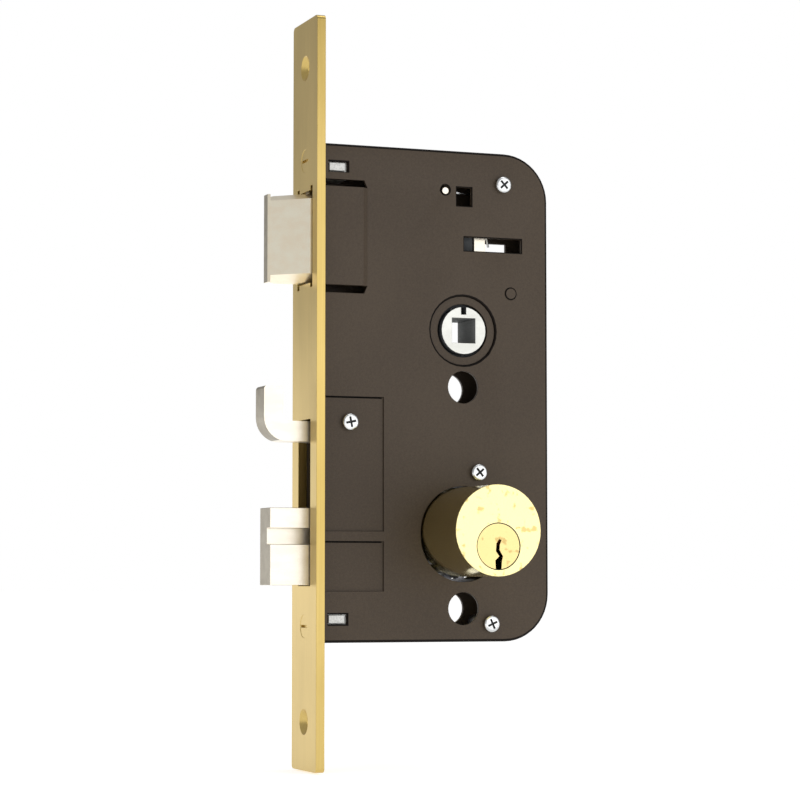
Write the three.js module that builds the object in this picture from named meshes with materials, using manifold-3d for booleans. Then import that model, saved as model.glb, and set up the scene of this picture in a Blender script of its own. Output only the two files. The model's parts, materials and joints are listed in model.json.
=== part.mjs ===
// Mortise lock with latch, hook bolt, deadbolt and a round double cylinder. Millimetres, +Z up.
// Origin: centre of the faceplate's front face. +X runs into the door, -Y is the cover side.
import * as THREE from "three";
import { mergeVertices } from "three/addons/utils/BufferGeometryUtils.js";
import Module from "manifold-3d";

const wasm = await Module();
wasm.setup();

// Driving dimensions.
const GAP = 0.1; // between pieces that touch
const PLATE = { length: 250, width: 25, thick: 3, corner: 1.5 };
const CASE = { front: 3.1, back: 85.2, height: 166, thick: 15, sheet: 1.2, corner: 16 };
const OUT_Y = CASE.thick / 2;
const IN_Y = OUT_Y - CASE.sheet;
const TOP_Z = CASE.height / 2;
const AXIS_X = 54; // backset, to the hub and the cylinder
const HUB_Z = 21.8;
const CYL_Z = HUB_Z - 68; // hub to cylinder distance
const PLUG_DROP = 5.2; // plug axis below the cylinder axis
const LATCH_Z = 51.6;
const BOLT_Z = -51.3;
const TRAVEL = 16; // deadbolt and hook, into the case
const DROP = 21; // hook, on its way in
const LATCH = { tip: -12, back: 5, height: 29.5, face: 25, thick: 14.6 };
const LATCH_SLOT = { width: 15.6, height: 31 };
const HOOK_SLOT = { width: 12.4, top: -9.2, bottom: -64.3 };
const HOLES_Z = [2.6, -71.9]; // through bolts of the handle plates
const HOLE_R = 5.5;
const WOOD_SCREW_Z = 109;
const PLATE_SCREW_Z = 77.6;
const WINDOW = { x: 5.9, z: 75.2, length: 6.6, height: 3.2 };
const STRIP = { x: 19.5, low: 35.5, high: 68.5, slot: 2.5 }; // bridge pressed out over the latch
const POCKET = { x: 25.4, high: -1.5, low: -66.1, ridgeHigh: -46.2, ridgeLow: -49.5, depth: 0.6 };
const DISH = { radius: 11.65, hole: 9.05, depth: 0.7 }; // dimple round the hub
const CYL = { radius: 15, half: 37.8, bridge: 5, cut: 4.9, hole: 15.4, holeDrop: 1.4 };
const PLUG = { radius: 7.45, bore: 7.6, inner: 5.1, face: 37.6 };
const PINS_Y = [-33, -27.5, -22, -16.5, -11];
const GEAR = { module: 1.5, teeth: 12, angle: (20 * Math.PI) / 180, slack: 0.3 };
const GEAR_R = (GEAR.module * GEAR.teeth) / 2;
const SCREWS = [
  { name: "top", x: 68.5, z: 72.1, post: 3, floor: IN_Y },
  { name: "hook", x: 13.4, z: -10, post: 2.2, floor: IN_Y - POCKET.depth },
  { name: "cylinder", x: 59.3, z: -26.1, post: 3, floor: IN_Y },
  { name: "bottom", x: 63.8, z: -77, post: 3, floor: IN_Y },
];
const NOTCH_X = 40; // detent notch at rest
const HOOK_PIN = { x: 21, low: -13.6, high: -5, radius: 1.6 };

const finish = (color, roughness, metalness) => () => {
  return new THREE.MeshStandardMaterial({ color, roughness, metalness });
};
const BRASS_SATIN = finish(0xb09a5e, 0.38, 1);
const BRASS = finish(0xd8bd6a, 0.2, 1);
const PAINT = finish(0x4d4339, 0.5, 0.1);
const NICKEL = finish(0xcfc7b4, 0.35, 1);
const BRIGHT = finish(0xc9cccd, 0.2, 1);
const ZINC = finish(0xd6d4cd, 0.4, 0.9);
const STEEL = finish(0x8d8f92, 0.4, 1);

// A closed geometry as a manifold-3d solid.
function solid(geometry) {
  const bare = geometry.clone();
  bare.deleteAttribute("normal");
  bare.deleteAttribute("uv");
  const merged = mergeVertices(bare, 1e-4);
  const vertProperties = merged.attributes.position.array;
  const triVerts = new Uint32Array(merged.index.array);
  return new wasm.Manifold(new wasm.Mesh({ numProp: 3, vertProperties, triVerts }));
}

// A manifold-3d solid as a geometry with flat faces.
function geometryOf(made) {
  const mesh = made.getMesh();
  const geometry = new THREE.BufferGeometry();
  geometry.setAttribute("position", new THREE.BufferAttribute(mesh.vertProperties, 3));
  geometry.setIndex(new THREE.BufferAttribute(mesh.triVerts, 1));
  const flat = geometry.toNonIndexed();
  flat.computeVertexNormals();
  return flat;
}

function mesh(name, made, material, x = 0, y = 0, z = 0) {
  const piece = new THREE.Mesh(geometryOf(made), material());
  piece.name = name;
  piece.position.set(x, y, z);
  return piece;
}

function group(x, y, z, ...pieces) {
  const made = new THREE.Group();
  made.position.set(x, y, z);
  made.add(...pieces);
  return made;
}

function box(x0, x1, y0, y1, z0, z1) {
  const geometry = new THREE.BoxGeometry(x1 - x0, y1 - y0, z1 - z0);
  return solid(geometry.translate((x0 + x1) / 2, (y0 + y1) / 2, (z0 + z1) / 2));
}

// Round bar along Y, from y0 to y1, at (x, z).
function rodY(radius, y0, y1, x = 0, z = 0, sides = 24) {
  const geometry = new THREE.CylinderGeometry(radius, radius, y1 - y0, sides);
  return solid(geometry.translate(x, (y0 + y1) / 2, z));
}

// Round bar or cone along X, from x0 to x1, at (y, z).
function rodX(r0, r1, x0, x1, y = 0, z = 0, sides = 24) {
  const geometry = new THREE.CylinderGeometry(r0, r1, x1 - x0, sides);
  return solid(geometry.rotateZ(Math.PI / 2).translate((x0 + x1) / 2, y, z));
}

function rodZ(radius, z0, z1, x = 0, y = 0, sides = 12) {
  const geometry = new THREE.CylinderGeometry(radius, radius, z1 - z0, sides);
  return solid(geometry.rotateX(Math.PI / 2).translate(x, y, (z0 + z1) / 2));
}

// An outline in X and Z, made solid from y0 to y1.
function slab(outline, y0, y1, curveSegments = 6) {
  const shape = outline instanceof THREE.Shape ? outline : polygon(outline);
  const options = { depth: y1 - y0, bevelEnabled: false, curveSegments };
  const geometry = new THREE.ExtrudeGeometry(shape, options);
  return solid(geometry.rotateX(Math.PI / 2).translate(0, y1, 0));
}

function polygon(points) {
  return new THREE.Shape(points.map(([x, y]) => new THREE.Vector2(x, y)));
}

// Rectangle with its own radius at each corner: lower left, lower right, upper right, upper left.
function rounded(x0, x1, z0, z1, [a, b, c, d]) {
  const shape = new THREE.Shape();
  shape.moveTo(x0 + a, z0);
  shape.lineTo(x1 - b, z0);
  if (b) shape.absarc(x1 - b, z0 + b, b, -Math.PI / 2, 0);
  shape.lineTo(x1, z1 - c);
  if (c) shape.absarc(x1 - c, z1 - c, c, 0, Math.PI / 2);
  shape.lineTo(x0 + d, z1);
  if (d) shape.absarc(x0 + d, z1 - d, d, Math.PI / 2, Math.PI);
  shape.lineTo(x0, z0 + a);
  if (a) shape.absarc(x0 + a, z0 + a, a, Math.PI, 1.5 * Math.PI);
  return shape;
}

// Rectangle with round ends about the line from (x0, z0) to (x1, z1).
function stadium(x0, z0, x1, z1, radius) {
  const turn = Math.atan2(z1 - z0, x1 - x0);
  const shape = new THREE.Shape();
  shape.absarc(x1, z1, radius, turn - Math.PI / 2, turn + Math.PI / 2);
  shape.absarc(x0, z0, radius, turn + Math.PI / 2, turn + 1.5 * Math.PI);
  return shape;
}

const mirrorY = (made) => made.mirror([0, 1, 0]);

function cutAll(made, cutters) {
  return cutters.reduce((rest, cutter) => rest.subtract(cutter), made);
}

function faceplate() {
  const { length, width, thick, corner } = PLATE;
  const outline = rounded(-width / 2, width / 2, -length / 2, length / 2, Array(4).fill(corner));
  const options = { depth: thick, bevelEnabled: false, curveSegments: 3 };
  const sheet = new THREE.ExtrudeGeometry(outline, options);
  const [toY, toZ, toX] = [[0, 1, 0], [0, 0, 1], [1, 0, 0]].map((v) => new THREE.Vector3(...v));
  const plate = solid(sheet.applyMatrix4(new THREE.Matrix4().makeBasis(toY, toZ, toX)));
  const half = LATCH_SLOT.width / 2;
  const [low, high] = [-1, 1].map((s) => LATCH_Z + (s * LATCH_SLOT.height) / 2);
  const cuts = [
    box(-1, thick + 1, -half, half, low, high),
    box(-1, thick + 1, -HOOK_SLOT.width / 2, HOOK_SLOT.width / 2, HOOK_SLOT.bottom, HOOK_SLOT.top),
  ];
  const ear = { width: 2.2, height: 1.5 };
  for (const side of [-1, 1]) {
    const [y0, y1] = side < 0 ? [-half, -half + ear.width] : [half - ear.width, half];
    cuts.push(box(-1, thick + 1, y0, y1, low - ear.height, high + ear.height));
    cuts.push(...countersink(side * WOOD_SCREW_Z, 4.3, 2.4));
    cuts.push(...countersink(side * PLATE_SCREW_Z, 3.9, 2.1));
  }
  return cutAll(plate, cuts);
}

function countersink(z, mouth, hole) {
  const depth = mouth - hole;
  const cone = rodX(mouth + 0.5, hole, -0.5, depth, 0, z);
  return [cone, rodX(hole, hole, -1, PLATE.thick + 1, 0, z)];
}

// Everything both side plates have cut through them, for a sheet between y0 and y1.
function sideHoles(y0, y1) {
  const cuts = HOLES_Z.map((z) => rodY(HOLE_R, y0, y1, AXIS_X, z, 28));
  cuts.push(slab(stadium(AXIS_X, CYL_Z - CYL.holeDrop, AXIS_X, CYL_Z, CYL.hole), y0, y1, 24));
  cuts.push(rodY(DISH.hole, y0, y1, AXIS_X, HUB_Z, 32));
  cuts.push(rodY(2.2, y0, y1, 71.5, 35, 16));
  cuts.push(box(54.5, 75.5, y0, y1, 49.1, 53.7));
  for (const side of [-1, 1]) {
    const z = side * WINDOW.z;
    const [low, high] = [z - WINDOW.height / 2, z + WINDOW.height / 2];
    cuts.push(box(WINDOW.x, WINDOW.x + WINDOW.length, y0, y1, low, high));
  }
  return cuts;
}

// The sheet pressed out over the latch, with a slot above and below it, on the cover's side.
function latchBridge(plate, slot) {
  const { x, low, high } = STRIP;
  const front = CASE.front;
  const cut = [
    [front - 1, low - slot],
    [x - 1.1, low - slot],
    [x, low],
    [x, high],
    [x - 1.1, high + slot],
    [front - 1, high + slot],
  ];
  const rise = CASE.sheet;
  const section = [
    [front, -OUT_Y],
    [x - 1.8, -OUT_Y],
    [x, -IN_Y],
    [x + 1.5, -IN_Y],
    [x + 1.5, -OUT_Y],
    [x, -OUT_Y],
    [x - 1.8, -OUT_Y - rise],
    [front, -OUT_Y - rise],
  ];
  const options = { depth: high - low, bevelEnabled: false };
  const bridge = new THREE.ExtrudeGeometry(polygon(section), options).translate(0, 0, low);
  return plate.subtract(slab(cut, -OUT_Y - 1, -IN_Y + 0.5)).add(solid(bridge));
}

function dish(plate) {
  const inner = rodY(DISH.radius + 0.8, -IN_Y - 0.2, -IN_Y + DISH.depth, AXIS_X, HUB_Z, 32);
  const outer = rodY(DISH.radius, -OUT_Y - 1, -OUT_Y + DISH.depth, AXIS_X, HUB_Z, 32);
  return plate.add(inner).subtract(outer);
}

// The two shallow pockets pressed into the cover beside the deadbolt and the hook.
function pockets(plate) {
  const front = CASE.front + CASE.sheet;
  const { x, high, low, ridgeHigh, ridgeLow, depth } = POCKET;
  const bands = [
    [ridgeHigh, high],
    [low, ridgeLow],
  ];
  return bands.reduce((made, [z0, z1]) => {
    const inner = box(front, x + 0.6, -IN_Y - 0.2, -IN_Y + depth, z0 - 0.6, z1 + 0.6);
    return made.add(inner).subtract(box(0, x, -OUT_Y - 1, -OUT_Y + depth, z0, z1));
  }, plate);
}

function caseOutline(inset) {
  const r = CASE.corner - inset;
  const z = TOP_Z - inset;
  return rounded(inset ? CASE.front + CASE.sheet : CASE.front, CASE.back - inset, -z, z, [0, r, r, 0]);
}

function coverPlate() {
  let plate = slab(caseOutline(0), -OUT_Y, -IN_Y);
  plate = pockets(dish(latchBridge(plate, STRIP.slot)));
  const [y0, y1] = [-OUT_Y - 3, -IN_Y + 2];
  const cuts = sideHoles(y0, y1);
  cuts.push(box(51.8, 57.2, y0, y1, 64.3, 70.6), rodY(1.7, y0, y1, 47.6, 69.5, 16));
  // Creases sheared into the pockets along their upper edges.
  for (const top of [POCKET.high, POCKET.ridgeLow]) {
    cuts.push(box(CASE.front + 1.4, POCKET.x - 0.6, y0, POCKET.depth - IN_Y - 0.3, top - 0.5, top));
  }
  cuts.push(...SCREWS.map(({ x, z }) => rodY(1.7, y0, y1, x, z, 12)));
  return cutAll(plate, cuts);
}

function caseTray() {
  const floor = mirrorY(dish(latchBridge(slab(caseOutline(0), -OUT_Y, -IN_Y), 0.3)));
  const walls = slab(caseOutline(0), GAP - IN_Y, IN_Y + 0.2);
  const cheeks = [STRIP.low - 0.8, STRIP.high - 0.2].flatMap((z) => [
    box(CASE.front, STRIP.x - 1.8, IN_Y, OUT_Y + CASE.sheet, z, z + 1),
    box(STRIP.x - 1.9, STRIP.x + 0.4, IN_Y, OUT_Y - 0.05, z, z + 1),
  ]);
  const hollow = slab(caseOutline(CASE.sheet), -OUT_Y, OUT_Y);
  const [y0, y1] = [IN_Y - 2, OUT_Y + 3];
  const flange = [CASE.front - 1, CASE.front + CASE.sheet + 0.01];
  const cuts = sideHoles(y0, y1);
  cuts.push(box(...flange, -OUT_Y, OUT_Y + 3, STRIP.low, STRIP.high));
  cuts.push(box(...flange, -OUT_Y, IN_Y, HOOK_SLOT.bottom - 0.4, HOOK_SLOT.top + 0.4));
  for (const side of [-1, 1]) cuts.push(rodX(2.3, 2.3, ...flange, 0, side * PLATE_SCREW_Z));
  const tray = cheeks.reduce((made, cheek) => made.add(cheek), walls.subtract(hollow).add(floor));
  return cutAll(tray, cuts);
}

// Zinc block that takes a faceplate screw, with a tab in each plate's window.
function frontBlock(side) {
  const [z0, z1] = side > 0 ? [71.6, 81.5] : [-81.5, -71.6];
  const tab = { x0: WINDOW.x + 0.3, x1: WINDOW.x + WINDOW.length - 0.8, half: WINDOW.height / 2 - 0.3 };
  const z = side * WINDOW.z;
  const block = box(4.5, 14, -6, 6, z0, z1).add(box(tab.x0, tab.x1, -7.2, 7.2, z - tab.half, z + tab.half));
  return block.subtract(rodX(1.8, 1.8, 4, 13, 0, side * PLATE_SCREW_Z, 16));
}

function faceplateScrew() {
  const head = rodX(3.8, 2, 0.1, 1.9);
  const shank = rodX(1.65, 1.65, 1.8, 12, 0, 0, 16);
  return head.add(shank).subtract(box(0, 0.9, -3, 3, -0.45, 0.45));
}

// Spacer riveted between the plates, threaded for a cover screw.
function post({ post: radius, floor }) {
  const bar = rodY(radius, GAP - floor, IN_Y - GAP);
  return bar.subtract(rodY(1.4, -OUT_Y, -OUT_Y + 8, 0, 0, 16));
}

function coverScrew({ floor }) {
  const seat = -floor - CASE.sheet - GAP;
  const profile = [
    [0, -1.9],
    [1.4, -1.75],
    [2.4, -1.3],
    [2.8, -0.6],
    [2.8, 0],
    [1.25, 0],
    [1.25, 6],
    [0, 6],
  ];
  const head = solid(lathe(profile, 16));
  const cross = box(-1.7, 1.7, -3, -1, -0.35, 0.35).add(box(-0.35, 0.35, -3, -1, -1.7, 1.7));
  return head.subtract(cross).translate([0, seat, 0]);
}

// Revolved about Y; the profile gives radius and y and starts and ends on the axis.
function lathe(profile, sides) {
  return new THREE.LatheGeometry(profile.map(([r, y]) => new THREE.Vector2(r, y)), sides);
}

function latchHead() {
  const { tip, back, height, face, thick } = LATCH;
  const half = thick / 2;
  const nose = 3.4;
  const section = [
    [tip, nose],
    [-0.5, -half],
    [back, -half],
    [back, half],
    [tip, half],
  ];
  const options = { depth: height, bevelEnabled: false };
  const body = new THREE.ExtrudeGeometry(polygon(section), options).translate(0, 0, -height / 2);
  const bevel = new THREE.Vector3(tip + 0.5, nose + half, 0).normalize();
  const along = new THREE.Vector3(-1, 0, 0);
  const corner = new THREE.Vector3(-0.5, -half, face / 2);
  const top = chamfer(corner, bevel).add(chamfer(corner, along));
  const edge = [
    [tip, nose],
    [tip + 0.8, nose - 0.74],
    [tip + 0.8, half],
    [tip, half],
  ];
  const lip = new THREE.ExtrudeGeometry(polygon(edge), options).translate(0, 0, -height / 2);
  return cutAll(solid(body), [top, top.mirror([0, 0, 1])]).add(solid(lip));
}

// Takes off the edge through a corner along a direction, sloping in and up behind it.
function chamfer(corner, along) {
  const inward = new THREE.Vector3(0, 0, 1).cross(along).negate();
  const slope = inward.multiplyScalar(5).add(new THREE.Vector3(0, 0, 2.25)).normalize();
  const up = new THREE.Vector3().crossVectors(along, slope);
  const sign = Math.sign(up.z);
  const frame = new THREE.Matrix4().makeBasis(along, slope, up).setPosition(corner);
  const block = new THREE.BoxGeometry(60, 20, 4).translate(0, 0, 2 * sign);
  return solid(block.applyMatrix4(frame));
}

const LATCH_ROD = { y: -1.6, radius: 2.3, end: 40 };

function latchBolt() {
  const { y, radius, end } = LATCH_ROD;
  const neck = box(LATCH.back - 1, 14, -0.5, 2.3, -4, 4);
  const rod = rodX(radius, radius, LATCH.back - 1, end, y, 0, 16);
  const collar = rodX(3.6, 3.6, 13, 14.2, y, 0, 16);
  return latchHead().add(neck).add(rod).add(collar).subtract(rodY(1.3, 0, 3, 10, 0, 12));
}

function latchTail() {
  const bar = box(LATCH.back + 0.4, 63.2, 2.6, 5.4, -4, 4);
  return bar.add(box(59.2, 63.2, -4.8, 2.8, -4, 4)).subtract(rodY(1.3, 2, 6, 10, 0, 12));
}

function latchGuide() {
  const plate = box(33.9, 35.1, -5.9, IN_Y - GAP, -7, 7);
  const hole = rodX(2.7, 2.7, 33, 36, LATCH_ROD.y, 0, 16);
  return cutAll(plate, [hole, box(33, 36, 2.3, 5.8, -4.4, 4.4)]);
}

// Coil of wire along +X from the origin.
function coilSpring(radius, wire, length, turns) {
  class Helix extends THREE.Curve {
    getPoint(t, target = new THREE.Vector3()) {
      const turn = 2 * Math.PI * turns * t;
      return target.set(length * t, radius * Math.cos(turn), radius * Math.sin(turn));
    }
  }
  return wireAlong(new Helix(), wire, turns * 8);
}

function wireAlong(path, wire, steps) {
  const section = new THREE.Shape();
  section.absarc(0, 0, wire / 2, 0, 2 * Math.PI);
  const options = { steps, extrudePath: path, curveSegments: 2, bevelEnabled: false };
  return solid(new THREE.ExtrudeGeometry(section, options));
}

function hub() {
  const barrel = rodY(8, -8, 8, 0, 0, 32).add(rodY(10.5, 0.4, 5, 0, 0, 32));
  const square = box(-4.25, 4.25, -9, 9, -4.25, 4.25);
  return cutAll(barrel, [square, box(-0.9, 0.9, -9, 9, 5.4, 9)]);
}

const ARM = { left: 0.5, right: 4.7, top: 33.2 };

function hubLever() {
  const { left, right, top } = ARM;
  const arm = [
    [-6, 10],
    [8, 9],
    [right, 26],
    [right, top],
    [left, top],
    [left, 26],
  ];
  const ring = rodY(12, -4.5, -0.5, 0, 0, 32).add(slab(arm, -4.5, -0.5));
  const key = box(-0.7, 0.7, -4.5, -0.5, 5.7, 9);
  return ring.subtract(rodY(8.15, -5, 0, 0, 0, 32)).add(key);
}

// Torsion spring: coils about Y, one leg down to the latch tail, one leg against the stop pin.
function returnSpring() {
  const radius = 2.9;
  const turns = 3.25;
  const points = [new THREE.Vector3(0.2, -4, -15)];
  for (let i = 0; i <= turns * 8; i++) {
    const turn = Math.PI - (2 * Math.PI * i) / 8;
    const x = radius * Math.cos(turn);
    points.push(new THREE.Vector3(x, -4 + i * 0.13, radius * Math.sin(turn)));
  }
  points.push(new THREE.Vector3(-15.2, -0.6, 4));
  return wireAlong(new THREE.CatmullRomCurve3(points, false, "centripetal"), 0.8, 48);
}

function deadbolt() {
  const body = box(-13.6, 14, -5.3, 5.3, -12.75, 12.75);
  const groove = box(-14, 6, -6, -1.8, 0.6, 6.1);
  const seat = box(6, 15, 1.1, 6, -13, 13);
  const rivets = [-7, 7].map((z) => rodY(1.6, -6, 2, 10, z, 12));
  return cutAll(body, [groove, seat, ...rivets]);
}

// Sliding plate that carries the deadbolt, the hook's upright slot and the rack.
function boltCarriage() {
  const outline = [
    [6.4, -64],
    [12, -65.7],
    ...[NOTCH_X - TRAVEL, NOTCH_X].flatMap((x) => [
      [x - 2.2, -65.7],
      [x, -64.3],
      [x + 2.2, -65.7],
    ]),
    [62, -65.7],
    [62, rackZ(-1.5)],
    [22.3, rackZ(-1.5)],
    [22.3, -40],
    [25.5, -34],
    [25.5, -1],
    [16.5, -1],
    [16.5, -38.6],
    [6.4, -38.6],
  ];
  const [y0, y1] = [1.3, 4.3];
  const teeth = rackTeeth(32, 60).map((tooth) => slab(tooth, y0, y1));
  const bar = teeth.reduce((made, tooth) => made.add(tooth), slab(outline, y0, y1));
  const { x, low, high, radius } = HOOK_PIN;
  const slot = slab(stadium(x, low - DROP, x, high, radius + 0.25), 0, 6);
  const rivets = [-7, 7].map((z) => rodY(1.6, 0, 6, 10, BOLT_Z + z, 12));
  return cutAll(bar, [slot, ...rivets]);
}

const rackZ = (above) => CYL_Z - PLUG_DROP - GEAR_R + above;

function rackTeeth(from, to) {
  const pitch = Math.PI * GEAR.module;
  const half = pitch / 4 - GEAR.slack / 4;
  const lean = Math.tan(GEAR.angle);
  const teeth = [];
  for (let x = AXIS_X + pitch * 1.5; x > from; x -= pitch) {
    if (x > to) continue;
    const [root, tip] = [half + 1.7 * lean, half - lean];
    teeth.push([
      [x - root, rackZ(-1.7)],
      [x + root, rackZ(-1.7)],
      [x + tip, rackZ(1)],
      [x - tip, rackZ(1)],
    ]);
  }
  return teeth;
}

// Toothed cam: involute teeth over the part of the turn that moves the rack.
function cam() {
  const { module, teeth, angle, slack } = GEAR;
  const base = GEAR_R * Math.cos(angle);
  const involute = (a) => Math.tan(a) - a;
  const halfAt = (r) => {
    const lean = r > base ? involute(Math.acos(base / r)) : 0;
    return (Math.PI * module - slack) / (4 * GEAR_R) + involute(angle) - lean;
  };
  const radii = [6.5, 7.7, base, GEAR_R - 0.1, GEAR_R + 0.6, GEAR_R + 1.2];
  let made = rodY(7.7, -4.5, 4.5, 0, 0, 36);
  for (let i = -1; i <= 4; i++) {
    const middle = -Math.PI / 2 - (i * 2 * Math.PI) / teeth;
    const flank = (side) => radii.map((r) => polar(r, middle + side * halfAt(r)));
    made = made.add(slab([...flank(-1), ...flank(1).reverse()], -4.5, 4.5));
  }
  return made.subtract(rodY(3.1, -5, 5, 0, 0, 20));
}

const polar = (radius, turn) => [radius * Math.cos(turn), radius * Math.sin(turn)];

function carriageRivet() {
  return rodY(1.5, -0.6, 4.4, 0, 0, 12).add(rodY(2.3, 4.4, 5, 0, 0, 12));
}

function hookBolt() {
  const [tip, inner, top, bottom, bend, round] = [-15.5, -8.85, 1.7, -16.65, 8, 1.2];
  const outline = new THREE.Shape();
  outline.absarc(tip + bend, bottom + bend, bend, Math.PI, 1.5 * Math.PI);
  outline.lineTo(5, bottom);
  outline.lineTo(5, -9.85);
  outline.lineTo(inner, -9.85);
  outline.absarc(inner - round, top - round, round, 0, Math.PI / 2);
  outline.absarc(tip + round, top - round, round, Math.PI / 2, Math.PI);
  const [y0, y1] = [-4.5, 4.5];
  const nose = slab(outline, y0, y1, 5);
  const shank = slab(rounded(4.5, 25, -16.65, -12.7, [0, 3, 0, 0]), y0, 1);
  const tongue = slab(rounded(17, 25, -14, -1.5, [0, 0, 3.5, 3.5]), y0, 1);
  const { x, low, high, radius } = HOOK_PIN;
  const holes = [low, high].map((z) => rodY(radius + 0.1, -3, 2, x, z, 16));
  return cutAll(nose.add(shank).add(tongue), holes);
}

const hookPin = (end) => rodY(HOOK_PIN.radius, -2.8, end, 0, 0, 16);

// Plate fixed to the tray whose sloping slot makes the hook drop as it goes in.
function hookGuide() {
  const { x, high, radius } = HOOK_PIN;
  const plate = slab(stadium(x, high, x + TRAVEL, high - DROP, 4.6), 4.6, IN_Y - GAP);
  const foot = slab(rounded(31, 44, -12, -2, [2, 2, 2, 2]), 4.6, IN_Y - GAP, 3);
  const slot = slab(stadium(x, high, x + TRAVEL, high - DROP, radius + 0.25), 4, 7);
  return cutAll(plate.add(foot), [slot, rodY(1.6, 4, 7, 40, -6, 12)]);
}

// Leaf spring whose nose holds the carriage at either end of its travel.
function detentSpring() {
  const points = [
    [16, -78],
    [34, -78.5],
    [45, -73],
    [NOTCH_X, -66.2],
    [36, -70],
  ];
  const path = points.map(([x, z]) => new THREE.Vector3(x, 0, z));
  const section = polygon([
    [-2.5, -0.3],
    [2.5, -0.3],
    [2.5, 0.3],
    [-2.5, 0.3],
  ]);
  const curve = new THREE.CatmullRomCurve3(path, false, "centripetal");
  const options = { steps: 24, extrudePath: curve, bevelEnabled: false };
  return solid(new THREE.ExtrudeGeometry(section, options));
}

function cylinderBody() {
  const { radius, half, bridge, cut } = CYL;
  const barrel = rodY(radius, -half, half, 0, 0, 48);
  const cuts = [-1, 1].map((side) => {
    const [y0, y1] = side < 0 ? [-half - 1, -cut + 1] : [cut - 1, half + 1];
    return rodY(PLUG.bore, y0, y1, 0, -PLUG_DROP, 36);
  });
  cuts.push(box(-16, 16, -cut, cut, -16, bridge), box(-16, 16, -1.7, 1.7, 13, 16));
  for (const y of PINS_Y) cuts.push(rodZ(1.6, -1, 13.4, 0, y));
  return cutAll(barrel, cuts);
}

// Plug with its keyway open at the bottom; pins only in the cover-side half.
function plug(pins) {
  const { radius, inner, face } = PLUG;
  const keyway = [
    [-0.9, -8.5],
    [-1.1, -4.6],
    [0.3, -3.2],
    [-0.9, -1.6],
    [-0.7, 1],
    [0.3, 2.4],
    [1.1, 2],
    [0.5, 0.6],
    [0.4, -1.2],
    [1.6, -3.2],
    [1.2, -5],
    [1, -8.5],
  ];
  const barrel = rodY(radius, -face, -inner, 0, 0, 36);
  const cuts = [slab(keyway, -face - 1, -inner - 2.5), rodY(3.1, -inner - 2, 0, 0, 0, 20)];
  if (pins) for (const y of PINS_Y) cuts.push(rodZ(1.6, 0, 9, 0, y));
  return cutAll(barrel, cuts);
}

const clutch = () => rodY(2.9, -6.8, 6.8, 0, 0, 20);

function retainer() {
  const outline = [
    [-6, 13.2],
    [9.5, 13.2],
    [9.5, 24],
    [1.3, 24],
    [-6, 17],
  ];
  return slab(outline, -1.4, 1.4).subtract(rodY(3.15, -2, 2, 5.3, 20.1));
}

function pinStack(y, index) {
  const number = index + 1;
  const cutDepth = [5, 3.5, 4.4, 3, 4.7][index];
  const shear = PLUG.radius - PLUG_DROP;
  const spring = coilSpring(1.05, 0.35, 4.7, 4).rotate([0, -90, 0]);
  return [
    mesh(`key_pin_${number}`, rodZ(1.35, shear - cutDepth, shear - 0.25), BRASS, 0, y, 0),
    mesh(`driver_pin_${number}`, rodZ(1.35, shear + 0.25, 8), BRASS, 0, y, 0),
    mesh(`pin_spring_${number}`, spring, STEEL, 0, y, 8.4),
  ];
}

const farPlug = mesh("plug_far", plug(false), BRASS, 0, 0, -PLUG_DROP);
farPlug.rotation.z = Math.PI;

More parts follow.
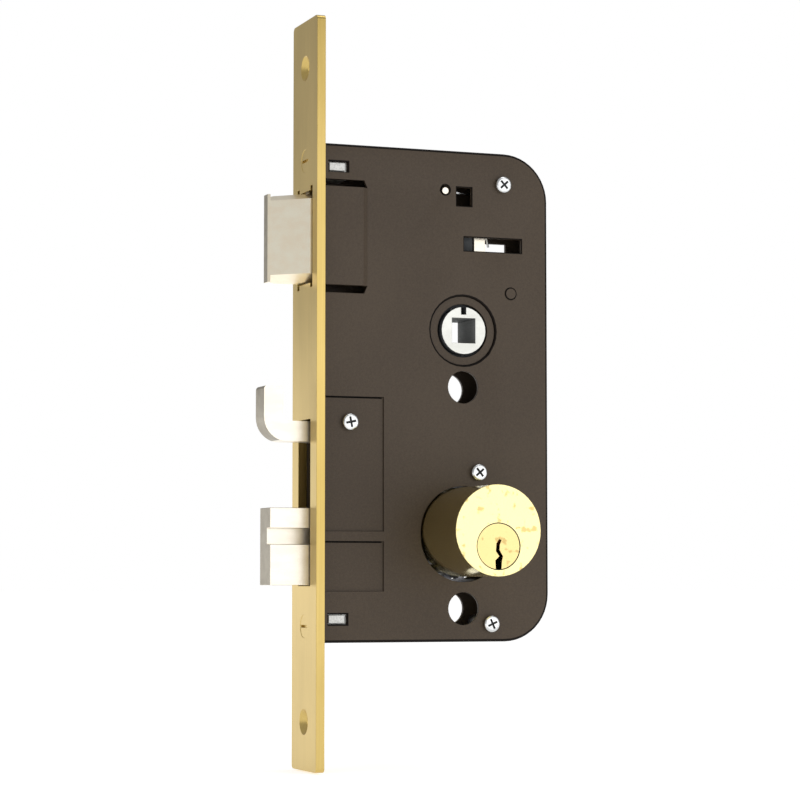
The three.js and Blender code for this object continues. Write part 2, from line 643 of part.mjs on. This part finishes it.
const lock = group(
  0,
  0,
  0,
  mesh("faceplate", faceplate(), BRASS_SATIN),
  mesh("case_tray", caseTray(), PAINT),
  mesh("cover_plate", coverPlate(), PAINT),
  mesh("front_block_upper", frontBlock(1), ZINC),
  mesh("front_block_lower", frontBlock(-1), ZINC),
  mesh("faceplate_screw_upper", faceplateScrew(), BRASS, 0, 0, PLATE_SCREW_Z),
  mesh("faceplate_screw_lower", faceplateScrew(), BRASS, 0, 0, -PLATE_SCREW_Z),
  ...SCREWS.map((at) => mesh(`post_${at.name}`, post(at), STEEL, at.x, 0, at.z)),
  ...SCREWS.map((at) => mesh(`cover_screw_${at.name}`, coverScrew(at), BRIGHT, at.x, 0, at.z)),
  mesh("spacer_rivet", rodY(2.1, -7.8, 7.8), PAINT, 71.5, 0, 35),
  mesh("stop_pin", rodY(1.2, -6.9, IN_Y - GAP), NICKEL, 47.9, 0, 69.3),
  mesh("spring_post", rodY(2.2, -5.9, IN_Y - GAP), STEEL, 64.5, 0, 66),
  group(
    0,
    0,
    LATCH_Z,
    mesh("latch_bolt", latchBolt(), NICKEL),
    mesh("latch_tail", latchTail(), NICKEL),
    mesh("latch_rivet", rodY(1.2, 0.2, 5.9, 0, 0, 12), STEEL, 10, 0, 0),
    mesh("latch_guide", latchGuide(), STEEL),
    mesh("latch_spring", coilSpring(3.1, 0.8, 18.2, 6), STEEL, 14.9, LATCH_ROD.y, 0),
  ),
  group(AXIS_X, 0, HUB_Z, mesh("hub", hub(), NICKEL), mesh("hub_lever", hubLever(), STEEL)),
  mesh("return_spring", returnSpring(), BRIGHT, 64.5, 0, 66),
  mesh("deadbolt", deadbolt(), NICKEL, 0, 0, BOLT_Z),
  mesh("bolt_carriage", boltCarriage(), STEEL),
  mesh("carriage_rivet_upper", carriageRivet(), STEEL, 10, 0, BOLT_Z + 7),
  mesh("carriage_rivet_lower", carriageRivet(), STEEL, 10, 0, BOLT_Z - 7),
  mesh("guide_pin_front", rodY(1.7, -2, IN_Y - GAP, 0, 0, 16), STEEL, 30, 0, -67.7),
  mesh("guide_pin_back", rodY(1.7, -2, IN_Y - GAP, 0, 0, 16), STEEL, 66, 0, -67.7),
  mesh("detent_spring", detentSpring(), STEEL, 0, 2.8, 0),
  mesh("hook_bolt", hookBolt(), NICKEL),
  mesh("hook_pin_lower", hookPin(4.2), STEEL, HOOK_PIN.x, 0, HOOK_PIN.low),
  mesh("hook_pin_upper", hookPin(6), STEEL, HOOK_PIN.x, 0, HOOK_PIN.high),
  mesh("hook_guide", hookGuide(), STEEL),
  mesh("guide_rivet", rodY(1.4, 4.5, IN_Y - GAP, 0, 0, 12), STEEL, 40, 0, -6),
  group(
    AXIS_X,
    0,
    CYL_Z,
    mesh("cylinder_body", cylinderBody(), BRASS),
    mesh("plug_near", plug(true), BRASS, 0, 0, -PLUG_DROP),
    farPlug,
    mesh("cam", cam(), STEEL, 0, 0, -PLUG_DROP),
    mesh("clutch", clutch(), STEEL, 0, 0, -PLUG_DROP),
    mesh("cylinder_retainer", retainer(), STEEL),
    ...PINS_Y.flatMap(pinStack),
  ),
);

export default lock;
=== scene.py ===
import json
from math import radians

import bpy
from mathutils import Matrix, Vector


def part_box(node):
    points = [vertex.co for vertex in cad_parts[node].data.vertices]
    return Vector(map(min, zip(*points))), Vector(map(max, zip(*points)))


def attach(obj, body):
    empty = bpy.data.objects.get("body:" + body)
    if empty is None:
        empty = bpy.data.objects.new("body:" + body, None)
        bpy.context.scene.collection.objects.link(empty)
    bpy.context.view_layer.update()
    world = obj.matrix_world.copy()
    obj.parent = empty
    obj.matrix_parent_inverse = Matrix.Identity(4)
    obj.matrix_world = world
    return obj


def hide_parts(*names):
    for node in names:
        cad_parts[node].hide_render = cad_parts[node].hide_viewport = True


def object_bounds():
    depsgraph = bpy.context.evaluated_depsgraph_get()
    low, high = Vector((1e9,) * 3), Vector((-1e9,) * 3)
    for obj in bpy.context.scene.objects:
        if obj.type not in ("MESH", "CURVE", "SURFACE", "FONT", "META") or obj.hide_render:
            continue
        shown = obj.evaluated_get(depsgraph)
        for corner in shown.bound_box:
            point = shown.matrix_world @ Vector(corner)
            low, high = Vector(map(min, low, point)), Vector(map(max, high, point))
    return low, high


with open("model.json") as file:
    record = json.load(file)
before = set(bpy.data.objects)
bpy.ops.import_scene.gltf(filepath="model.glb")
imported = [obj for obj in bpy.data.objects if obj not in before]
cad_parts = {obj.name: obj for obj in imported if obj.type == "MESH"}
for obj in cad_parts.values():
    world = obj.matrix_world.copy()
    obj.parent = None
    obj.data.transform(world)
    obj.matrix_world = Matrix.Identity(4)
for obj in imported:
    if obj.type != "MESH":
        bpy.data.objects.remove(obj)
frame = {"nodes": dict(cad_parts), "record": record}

cad_low, cad_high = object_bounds()

# The setting: a pale floor that the faceplate's lower end stands just above, an even white
# surround, and a long lens at the height of the cylinder, a little to the faceplate's side.
MM = 0.001
FOCAL_LENGTH = 116.3
CAMERA_PLACE = Vector((-274.6, -813.3, -63.0))
CAMERA_TILT, CAMERA_HEADING = 94.03, -20.78
FLOOR_SIZE, FLOOR_GAP = 30, 0.5
LIGHT_ON_LOCK, LIGHT_SEEN = 0.5, 1.0

scene = bpy.context.scene
scene.view_settings.view_transform = "Standard"

lens = bpy.data.cameras.new("camera")
lens.lens = FOCAL_LENGTH
camera = bpy.data.objects.new("camera", lens)
camera.location = CAMERA_PLACE * MM
camera.rotation_euler = (radians(CAMERA_TILT), 0, radians(CAMERA_HEADING))
scene.collection.objects.link(camera)
scene.camera = camera

floor_place = (0, 0, cad_low.z - FLOOR_GAP * MM)
bpy.ops.mesh.primitive_plane_add(size=FLOOR_SIZE, location=floor_place)
floor = bpy.context.active_object
floor.name = "floor"
pale = bpy.data.materials.new("pale_floor")
pale.use_nodes = True
matt = pale.node_tree.nodes["Principled BSDF"].inputs
matt["Base Color"].default_value = (0.9, 0.9, 0.9, 1)
matt["Roughness"].default_value = 1.0
matt["Specular IOR Level"].default_value = 0.0
matt["Emission Color"].default_value = (1, 1, 1, 1)
matt["Emission Strength"].default_value = 0.6
floor.data.materials.append(pale)

world = bpy.data.worlds.new("surround")
world.use_nodes = True
scene.world = world
sky = world.node_tree.nodes
lighting = sky["Background"]
lighting.inputs["Color"].default_value = (1, 1, 1, 1)
lighting.inputs["Strength"].default_value = LIGHT_ON_LOCK
backdrop = sky.new("ShaderNodeBackground")
backdrop.inputs["Color"].default_value = (1, 1, 1, 1)
backdrop.inputs["Strength"].default_value = LIGHT_SEEN
ray = sky.new("ShaderNodeLightPath")
either = sky.new("ShaderNodeMixShader")
connect = world.node_tree.links.new
connect(ray.outputs["Is Camera Ray"], either.inputs[0])
connect(lighting.outputs[0], either.inputs[1])
connect(backdrop.outputs[0], either.inputs[2])
connect(either.outputs[0], sky["World Output"].inputs["Surface"])


def softbox(name, place, size, watts):
    """A rectangular lamp, sized and placed in metres, that faces the middle of the lock."""
    lamp = bpy.data.lights.new(name, "AREA")
    lamp.shape = "RECTANGLE"
    lamp.size, lamp.size_y = size
    lamp.energy = watts
    box = bpy.data.objects.new(name, lamp)
    box.location = place
    middle = (cad_low + cad_high) / 2
    box.rotation_euler = (middle - Vector(place)).to_track_quat("-Z", "Y").to_euler()
    scene.collection.objects.link(box)


# The large front softbox is what the bolts' sides, the cylinder's face and the faceplate's
# edge mirror; the one behind is what the faceplate's front mirrors.
softbox("front", (0.52, -1.2, -0.02), (1.3, 1.2), 5.5)
softbox("behind", (-0.7, 1.5, -0.25), (1.0, 0.8), 2.2)
softbox("above", (0.3, -0.2, 1.2), (0.6, 0.6), 2.5)


# The case: a tray folded from sheet steel, dipped in brown enamel that is baked to a fine
# orange-peel skin; its rounded edges are painted near black as shade. The cover closes it.
class Wire:
    """One socket of a material's nodes, with the arithmetic that the finishes use."""

    def __init__(self, tree, socket):
        self.tree = tree
        self.socket = socket

    def node(self, kind, settings, out, **values):
        """Any node: its type, its settings, the output that is read, and its inputs' values.

        An input is given by its name, or as _ and its number where the names repeat.
        """
        made = self.tree.nodes.new(kind)
        for key, value in settings.items():
            setattr(made, key, value)
        for key, value in values.items():
            place = made.inputs[int(key[1:]) if key[0] == "_" else key.replace("_", " ")]
            if isinstance(value, Wire):
                self.tree.links.new(value.socket, place)
            else:
                place.default_value = value
        return Wire(self.tree, made.outputs[out])

    def __add__(self, other):
        return self.node("ShaderNodeMath", {"operation": "ADD"}, 0, _0=self, _1=other)

    def __mul__(self, other):
        return self.node("ShaderNodeMath", {"operation": "MULTIPLY"}, 0, _0=self, _1=other)

    def __abs__(self):
        return self.node("ShaderNodeMath", {"operation": "ABSOLUTE"}, 0, _0=self)

    __radd__ = __add__
    __rmul__ = __mul__

    def between(self, low, high):
        """0 under low, 1 over high, smooth from one to the other."""
        settings = {"interpolation_type": "SMOOTHSTEP"}
        return self.node("ShaderNodeMapRange", settings, 0, Value=self, From_Min=low, From_Max=high)

    def tint(self, dark, light):
        """The colour dark where this is 0 and light where it is 1."""
        settings = {"data_type": "RGBA"}
        return self.node("ShaderNodeMix", settings, 2, _0=self, _6=(*dark, 1), _7=(*light, 1))

    def grain(self, size, stretch, detail, seed):
        """Noise whose lumps are size millimetres across, drawn out by stretch along X, Y and Z."""
        scale = tuple(1 / (size * MM * along) for along in stretch)
        shift = (seed, seed, seed)
        place = self.node("ShaderNodeMapping", {}, 0, Vector=self, Location=shift, Scale=scale)
        return self.node("ShaderNodeTexNoise", {}, 0, Vector=place, Scale=1.0, Detail=detail)

    def bump(self, height):
        """Makes the surface rise by height millimetres where this is 1."""
        return self.node("ShaderNodeBump", {}, 0, Height=self, Distance=height * MM, Strength=0.4)


def new_finish(name, metal, shine=0.5):
    """A material, its shader's sockets, and a wire of the piece's own coordinates."""
    made = bpy.data.materials.new(name)
    made.use_nodes = True
    sockets = made.node_tree.nodes["Principled BSDF"].inputs
    sockets["Metallic"].default_value = metal
    sockets["Specular IOR Level"].default_value = shine
    source = made.node_tree.nodes.new("ShaderNodeTexCoord")
    return made, sockets, Wire(made.node_tree, source.outputs["Object"])


def feed(sockets, colour, roughness, normal):
    connect = colour.tree.links.new
    connect(colour.socket, sockets["Base Color"])
    connect(roughness.socket, sockets["Roughness"])
    connect(normal.socket, sockets["Normal"])


def activate(piece):
    """Selects one piece alone, for the operators that act on what is selected."""
    bpy.ops.object.select_all(action="DESELECT")
    piece.select_set(True)
    bpy.context.view_layer.objects.active = piece


def modify(piece, kind, **settings):
    """Adds a modifier with its settings and applies it."""
    activate(piece)
    step = piece.modifiers.new(kind.lower(), kind)
    for key, value in settings.items():
        setattr(step, key, value)
    bpy.ops.object.modifier_apply(modifier=step.name)


SAME_SLOT = -1


def eased(piece, width, segments=3, sharper_than=35, edge_slot=SAME_SLOT):
    """Rounds a piece's sharp edges by width millimetres; the new faces can take a slot's finish."""
    activate(piece)
    bpy.ops.object.shade_smooth_by_angle(angle=radians(32))
    modify(
        piece,
        "BEVEL",
        width=width * MM,
        segments=segments,
        limit_method="ANGLE",
        angle_limit=radians(sharper_than),
        material=edge_slot,
        harden_normals=True,
    )


def take(node, *finishes):
    """A copy of a frame node's shape, ready to be finished; it stands in for the node."""
    piece = bpy.data.objects.new("made_" + node, frame["nodes"][node].data.copy())
    scene.collection.objects.link(piece)
    activate(piece)
    bpy.ops.object.mode_set(mode="EDIT")
    bpy.ops.mesh.select_all(action="SELECT")
    bpy.ops.mesh.remove_doubles(threshold=0.002 * MM)
    bpy.ops.mesh.dissolve_limited(angle_limit=radians(0.5))
    bpy.ops.object.mode_set(mode="OBJECT")
    bpy.ops.mesh.customdata_custom_splitnormals_clear()
    piece.data.materials.clear()
    for finish in finishes:
        piece.data.materials.append(finish)
    bodies = frame["record"]["behaviour"]["bodies"]
    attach(piece, next(body for body, nodes in bodies.items() if node in nodes))
    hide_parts(node)
    return piece


def enamel(name, low, high, shine):
    """Baked enamel from the colour low to high in a fine speckle."""
    made, sockets, at = new_finish(name, 0.0, shine)
    peel = at.grain(0.7, (1, 1, 1), 3, 0.0)
    speck = at.grain(0.3, (1, 1, 1), 1, 3.0)
    drift = at.grain(50, (1, 1, 1), 2, 5.0)
    blend = (0.35 * speck + 0.35 * peel + 0.3 * drift).between(0.3, 0.7)
    feed(sockets, blend.tint(low, high), 0.42 + 0.15 * peel, peel.bump(0.02))
    return made


brown_enamel = enamel("brown_enamel", (0.047, 0.032, 0.020), (0.074, 0.053, 0.034), 0.3)
# The near-black copy of the enamel is painted shade for the rounded edges.
painted_edge_shade = enamel("brown_enamel_painted_edge_shade", (0.003, 0.002, 0.0015), (0.009, 0.006, 0.004), 0.1)
eased(take("case_tray", brown_enamel, painted_edge_shade), 0.45, edge_slot=1)
eased(take("spacer_rivet", brown_enamel, painted_edge_shade), 0.35, edge_slot=1)

# Two blocks of die-cast zinc at the front, left as cast; each takes a faceplate screw and
# shows a tab in the case's windows.
cast_zinc, sockets, at = new_finish("cast_zinc", 0.8)
cast = at.grain(0.7, (1, 1, 1), 4, 0.0)
feed(
    sockets,
    cast.between(0.3, 0.7).tint((0.48, 0.48, 0.46), (0.66, 0.66, 0.64)),
    0.4 + 0.15 * cast,
    cast.bump(0.04),
)
for end in ("upper", "lower"):
    eased(take("front_block_" + end, cast_zinc), 0.15)

# The posts and the latch's guide: cut from bright drawn bar and strip and riveted into the
# tray. The steel is left bare; its colour is set dark as painted shade inside the case.
inner_steel_shaded, sockets, at = new_finish("inner_steel_shaded", 1.0)
rolled = at.grain(0.2, (30, 1, 1), 3, 0.0)
feed(
    sockets,
    rolled.between(0.3, 0.7).tint((0.16, 0.16, 0.18), (0.30, 0.30, 0.32)),
    0.3 + 0.18 * rolled,
    rolled.bump(0.02),
)
for node in ("post_top", "post_hook", "post_cylinder", "post_bottom", "spring_post", "latch_guide"):
    eased(take(node, inner_steel_shaded), 0.12, 2)


# The latch: a die-cast bolt with one side bevelled, nickel plated and tumbled to a warm satin,
# on a steel tail that the hub's arm pulls; a coil spring round the tail pushes it out.
def nickel(name, low, high, rough):
    """Plating from the colour low to high in soft patches, with the least roughness rough."""
    made, sockets, at = new_finish(name, 1.0)
    tumbled = at.grain(0.3, (1, 1, 1), 4, 0.0)
    rubbed = at.grain(3, (3, 1, 1), 3, 3.0)
    blend = (0.4 * tumbled + 0.6 * rubbed).between(0.3, 0.7)
    feed(sockets, blend.tint(low, high), rough + 0.14 * tumbled, tumbled.bump(0.02))
    return made


latch_nickel = nickel("latch_nickel", (0.97, 0.86, 0.67), (1.0, 0.94, 0.77), 0.28)
satin_nickel = nickel("satin_nickel", (0.80, 0.74, 0.63), (0.90, 0.85, 0.75), 0.28)
# Dark nickel for the faces that point out through the faceplate: painted shade on the bolts' ends.
nickel_end_shade = nickel("nickel_end_shade", (0.30, 0.268, 0.212), (0.385, 0.35, 0.28), 0.34)
bright_nickel = nickel("bright_nickel", (0.50, 0.51, 0.51), (0.80, 0.81, 0.82), 0.14)


def refinish(piece, slot, chosen):
    """Gives the faces that chosen picks, by centre in millimetres and normal, a slot's finish."""
    for face in piece.data.polygons:
        if chosen(face.center / MM, face.normal):
            face.material_index = slot


FACES_OUT = -0.9
latch = take("latch_bolt", latch_nickel, nickel_end_shade)
eased(latch, 0.2)
# The latch's outward end takes the painted shade.
refinish(latch, 1, lambda centre, normal: normal.x < FACES_OUT)
eased(take("latch_tail", satin_nickel), 0.12, 2)
eased(take("latch_rivet", inner_steel_shaded), 0.12, 2)
eased(take("latch_spring", inner_steel_shaded), 0.02, 1, 60)
eased(take("stop_pin", satin_nickel), 0.12, 2)

# The hub: zinc, plated, with a square for the spindle and a keyed steel lever; the return
# spring lies on its post above it.
# A near-black finish that is painted shade for recesses and gaps inside the lock.
recess_shade, sockets, at = new_finish("recess_shade", 0.0, 0.0)
shade_grain = at.grain(2, (1, 1, 1), 2, 0.0)
shade_tint = shade_grain.tint((0.05, 0.053, 0.056), (0.09, 0.093, 0.095))
feed(sockets, shade_tint, 0.7 + 0.1 * shade_grain, shade_grain.bump(0.01))
hub_zinc = nickel("hub_zinc", (0.62, 0.62, 0.58), (0.74, 0.74, 0.70), 0.36)
# The square's walls: broaching streaks on a colour set dark as painted shade inside the square.
broached_and_shaded, sockets, at = new_finish("broached_zinc_painted_shade", 0.0, 0.1)
drag = at.grain(0.3, (1, 30, 1), 3, 0.0)
scored_and_shaded = drag.tint((0.13, 0.135, 0.13), (0.26, 0.265, 0.26))
feed(sockets, scored_and_shaded, 0.6 + 0.1 * drag, drag.bump(0.03))

HUB_AXIS = Vector((54, 0, 21.8))
SQUARE_HALF, WALLS_END = 4.25, 5.2
NEAR = 0.1


def from_axis(point, axis):
    """The distance from an axis along Y."""
    return Vector((point.x - axis.x, point.z - axis.z)).length


def in_square(centre, normal):
    across = max(abs(centre.x - HUB_AXIS.x), abs(centre.z - HUB_AXIS.z))
    return abs(normal.y) < 0.5 and across < SQUARE_HALF + NEAR


def on_rim_or_key_slot(centre, normal):
    return abs(normal.y) < 0.5 and from_axis(centre, HUB_AXIS) > WALLS_END


hub = take("hub", hub_zinc, recess_shade, broached_and_shaded)
eased(hub, 0.12, 2)
refinish(hub, 2, in_square)
# The hub's rim, in the gap round it, and its key slot take the painted shade.
refinish(hub, 1, on_rim_or_key_slot)
# The lever inside the case takes the painted shade all over.
eased(take("hub_lever", recess_shade), 0.15, 2)
eased(take("return_spring", bright_nickel), 0.02, 1, 60)

# The deadbolt: a milled nickel-plated bar with a groove, riveted to the sliding carriage that
# carries the rack; two pins guide the carriage and a bent spring clicks into its notches.
bolt = take("deadbolt", satin_nickel, nickel_end_shade)
eased(bolt, 0.2)
# The deadbolt's outward end takes the painted shade.
refinish(bolt, 1, lambda centre, normal: normal.x < FACES_OUT)
for node in ("bolt_carriage", "carriage_rivet_upper", "carriage_rivet_lower"):
    eased(take(node, inner_steel_shaded), 0.12, 2)
for node in ("guide_pin_front", "guide_pin_back", "detent_spring"):
    eased(take(node, inner_steel_shaded), 0.05, 2)

# The hook: an L of nickel-plated steel that stands in an upright slot of the carriage on two
# pins. The lower pin follows a sloping steel guide, which drops the hook on its way in.
HOOK_FACES_OUT = -0.35
hook = take("hook_bolt", satin_nickel, nickel_end_shade)
eased(hook, 0.3)
# The hook's outward faces take the painted shade.
refinish(hook, 1, lambda centre, normal: normal.x < HOOK_FACES_OUT and abs(normal.y) < 0.5)
for node in ("hook_pin_lower", "hook_pin_upper", "hook_guide", "guide_rivet"):
    eased(take(node, inner_steel_shaded), 0.1, 2)


# The cover: sheet steel in the same enamel, with a strip pressed out over the latch, a dimple
# round the hub and two sheared pockets; four cross-head screws hold it to the posts.
def soften(piece, width, slot, chosen):
    """Rounds only the sharp edges with both ends where chosen says, in a slot's finish."""
    activate(piece)
    bpy.ops.object.mode_set(mode="EDIT")
    bpy.ops.mesh.select_mode(type="EDGE")
    bpy.ops.mesh.select_all(action="DESELECT")
    bpy.ops.mesh.edges_select_sharp(sharpness=radians(35))
    bpy.ops.object.mode_set(mode="OBJECT")
    points, edges = piece.data.vertices, piece.data.edges
    sharp = [edge for edge in edges if edge.select]
    wanted = [e.index for e in sharp if all(chosen(points[end].co / MM) for end in e.vertices)]
    bpy.ops.object.mode_set(mode="EDIT")
    bpy.ops.mesh.select_all(action="DESELECT")
    bpy.ops.object.mode_set(mode="OBJECT")
    for index in wanted:
        edges[index].select = True
    bpy.ops.object.mode_set(mode="EDIT")
    bpy.ops.mesh.bevel(
        offset=width * MM, segments=4, affect="EDGES", material=slot, clamp_overlap=True
    )
    bpy.ops.mesh.select_mode(type="VERT")
    bpy.ops.object.mode_set(mode="OBJECT")


CASE_BACK, CASE_HALF_HEIGHT, CORNER_RADIUS = 85.2, 83, 16
DIMPLE_RADIUS = 11.65
COVER_FRONT = -7.4
SIDE_WINDOW = (5, 13, 73.4, 77.0)
SQUARE_HOLE = (51.6, 57.4, 64.1, 70.8)
TAIL_SLOT = (54.3, 75.7, 48.9, 53.9)
PIN_HOLE, PIN_HOLE_RADIUS = Vector((47.6, 0, 69.5)), 1.8
CREASES, CREASE_HALF_WIDTH, POCKET_BACK = (-1.75, -49.75), 0.27, 25


def on_rim(p):
    past_x = p.x - (CASE_BACK - CORNER_RADIUS)
    past_z = abs(p.z) - (CASE_HALF_HEIGHT - CORNER_RADIUS)
    if past_x > 0 and past_z > 0:
        return Vector((past_x, past_z)).length > CORNER_RADIUS - NEAR
    return p.x > CASE_BACK - NEAR or abs(p.z) > CASE_HALF_HEIGHT - NEAR


def on_dimple(p):
    return abs(from_axis(p, HUB_AXIS) - DIMPLE_RADIUS) < 0.15


def within(x, z, bounds):
    left, right, bottom, top = bounds
    return left < x < right and bottom < z < top


def on_window(p):
    return within(p.x, abs(p.z), SIDE_WINDOW)


def on_small_opening(p):
    round_pin = from_axis(p, PIN_HOLE) < PIN_HOLE_RADIUS + NEAR
    return within(p.x, p.z, SQUARE_HOLE) or within(p.x, p.z, TAIL_SLOT) or round_pin


cover = take("cover_plate", brown_enamel, painted_edge_shade)
# The rounded rims of the outline, the dimple, the windows, the small openings and every other sharp
# edge take the near-black painted shade.
for width, place in ((0.9, on_rim), (0.8, on_dimple), (0.5, on_window), (0.35, on_small_opening)):
    soften(cover, width, 1, lambda p: p.y < COVER_FRONT and place(p))
eased(cover, 0.24, edge_slot=1)


def in_crease(centre, normal):
    close = min(abs(centre.z - crease) for crease in CREASES) < CREASE_HALF_WIDTH
    return close and centre.x < POCKET_BACK and centre.y > COVER_FRONT


# The pockets' creases take the same near-black painted shade.
refinish(cover, 1, in_crease)


# The cover's screws: nickel-plated pan heads with a cross recess, driven into the four posts.
# Each head is turned, rounded over and punched, and each was left at the turn where it bit.
def bar_along_y(radius, y0, y1, x, z, sides=64):
    """A round bar, its mesh placed and the object left at the origin."""
    bpy.ops.mesh.primitive_cylinder_add(vertices=sides, radius=radius * MM, depth=(y1 - y0) * MM)
    piece = bpy.context.active_object
    bpy.ops.object.mode_set(mode="EDIT")
    bpy.ops.mesh.select_all(action="SELECT")
    bpy.ops.transform.rotate(value=radians(90), orient_axis="X", center_override=(0, 0, 0))
    bpy.ops.transform.translate(value=Vector((x, (y0 + y1) / 2, z)) * MM)
    bpy.ops.object.mode_set(mode="OBJECT")
    return piece


def block(low, high, turn, about):
    """A rectangular block between two corners, turned in degrees about Y through a point."""
    bpy.ops.mesh.primitive_cube_add(size=1)
    piece = bpy.context.active_object
    bpy.ops.object.mode_set(mode="EDIT")
    bpy.ops.mesh.select_all(action="SELECT")
    bpy.ops.transform.resize(value=(high - low) * MM, center_override=(0, 0, 0))
    bpy.ops.transform.translate(value=(high + low) / 2 * MM)
    bpy.ops.transform.rotate(value=radians(turn), orient_axis="Y", center_override=about * MM)
    bpy.ops.object.mode_set(mode="OBJECT")
    return piece


def combine(piece, other, operation):
    """Joins another solid to a piece, or cuts it away, and removes it."""
    modify(piece, "BOOLEAN", operation=operation, object=other, solver="EXACT")
    bpy.data.objects.remove(other)


HEAD_RADIUS, HEAD_HEIGHT, HEAD_ROUNDING = 2.8, 1.9, 0.75
ARM_REACH, ARM_HALF_WIDTH, CROSS_DEPTH = 1.75, 0.34, 0.9
STEM_RADIUS, STEM_LAP = 1.25, 0.4


def cover_screw(name, turn):
    """A screw where the frame has it, its cross turned by so many degrees."""
    low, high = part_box("cover_screw_" + name)
    x, z = (low.x + high.x) / 2 / MM, (low.z + high.z) / 2 / MM
    top = low.y / MM
    axis = Vector((x, top, z))
    screw = bar_along_y(HEAD_RADIUS, top, top + HEAD_HEIGHT, x, z)
    eased(screw, HEAD_ROUNDING, 5, 60)
    for arm_x, arm_z in ((ARM_REACH, ARM_HALF_WIDTH), (ARM_HALF_WIDTH, ARM_REACH)):
        low_corner = axis - Vector((arm_x, 1, arm_z))
        high_corner = axis + Vector((arm_x, CROSS_DEPTH, arm_z))
        combine(screw, block(low_corner, high_corner, turn, axis), "DIFFERENCE")
    stem = bar_along_y(STEM_RADIUS, top + HEAD_HEIGHT - STEM_LAP, high.y / MM, x, z, 32)
    combine(screw, stem, "UNION")
    screw.name = screw.data.name = "made_cover_screw_" + name
    screw.data.materials.clear()
    screw.data.materials.append(bright_nickel)
    screw.data.materials.append(recess_shade)

    def in_cross(centre, normal):
        below_top = 0.03 < centre.y - top < CROSS_DEPTH + NEAR
        return below_top and from_axis(centre, axis) < ARM_REACH + 0.02

    # The cross recess takes the painted shade.
    refinish(screw, 1, in_cross)
    eased(screw, 0.05, 2, 50)
    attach(screw, "lock")
    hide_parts("cover_screw_" + name)


for name, turn in (("top", 42), ("hook", 12), ("cylinder", 40), ("bottom", 24)):
    cover_screw(name, turn)

# The faceplate: rolled brass, brushed along its length and lacquered, with two countersunk
# holes for wood screws and two machine screws into the zinc blocks.
satin_brass, sockets, at = new_finish("satin_brass", 1.0)
brushed = at.grain(0.15, (1, 1, 220), 3, 0.0)
cloud = at.grain(20, (1, 1, 2.5), 3, 4.0)
blend = (0.45 * brushed + 0.55 * cloud).between(0.3, 0.7)
feed(
    sockets,
    blend.tint((0.52, 0.375, 0.115), (0.66, 0.49, 0.175)),
    0.24 + 0.1 * brushed + 0.08 * cloud,
    brushed.bump(0.02),
)
eased(take("faceplate", satin_brass), 0.25, sharper_than=60)
for end in ("upper", "lower"):
    eased(take("faceplate_screw_" + end, satin_brass), 0.04, 1, 60)

# The cylinder: round brass bar, turned and buffed to a clear yellow that has begun to tarnish
# in small soft spots, bored off centre for a plug at each end.
CYLINDER_END = 37.8
PLUG_AXIS = Vector((54, 0, -51.4))
PLUG_RADIUS, PLUG_BORE = 7.45, 7.6


def buffed_brass(name, fresh, dull):
    """Brass of the colour fresh, with spots of the colour dull on its two ends alone."""
    made, sockets, at = new_finish(name, 1.0)
    depth = abs(at.node("ShaderNodeSeparateXYZ", {}, 1, Vector=at))
    on_ends = depth.between((CYLINDER_END - 0.9) * MM, (CYLINDER_END - 0.5) * MM)
    spots = at.grain(3.1, (1, 1, 1), 2, 5.3).between(0.58, 0.68) * on_ends
    haze = at.grain(12, (1, 1, 1), 2, 7.0)
    feed(
        sockets,
        (0.7 * spots + 0.12 * haze).tint(fresh, dull),
        0.17 + 0.16 * spots + 0.06 * haze,
        haze.bump(0.01),
    )
    return made


clear_brass = buffed_brass("clear_brass", (0.88, 0.77, 0.38), (0.64, 0.47, 0.16))
plug_brass = buffed_brass("plug_brass", (0.73, 0.58, 0.26), (0.56, 0.40, 0.15))
# Dark brass that is painted shade for the walls inside the keyways.
keyway_shade_brass = buffed_brass("keyway_shade_brass", (0.36, 0.20, 0.10), (0.22, 0.11, 0.05))


def inside_wall(radius):
    """Picks the faces that run along the plug's axis, nearer to it than radius."""
    return lambda centre, normal: abs(normal.y) < 0.97 and from_axis(centre, PLUG_AXIS) < radius


cylinder = take("cylinder_body", clear_brass, recess_shade)
eased(cylinder, 0.25)
# The bore's walls take the painted shade.
refinish(cylinder, 1, inside_wall(PLUG_BORE + 0.35))
for side in ("near", "far"):
    plug = take("plug_" + side, plug_brass, keyway_shade_brass)
    eased(plug, 0.25, 3, 50)
    # The keyway's walls take that painted shade.
    refinish(plug, 1, inside_wall(PLUG_RADIUS - 0.85))

# Inside the cylinder: the toothed cam, the clutch that joins it to one plug at a time, and the
# plate that holds the cylinder. Five brass key pins, steel drivers and springs lock the plug.
for node in ("cam", "clutch", "cylinder_retainer"):
    eased(take(node, inner_steel_shaded), 0.08, 2)
for number in "12345":
    eased(take("key_pin_" + number, clear_brass), 0.1, 2)
    eased(take("driver_pin_" + number, inner_steel_shaded), 0.1, 2)
    eased(take("pin_spring_" + number, inner_steel_shaded), 0.02, 1, 60)
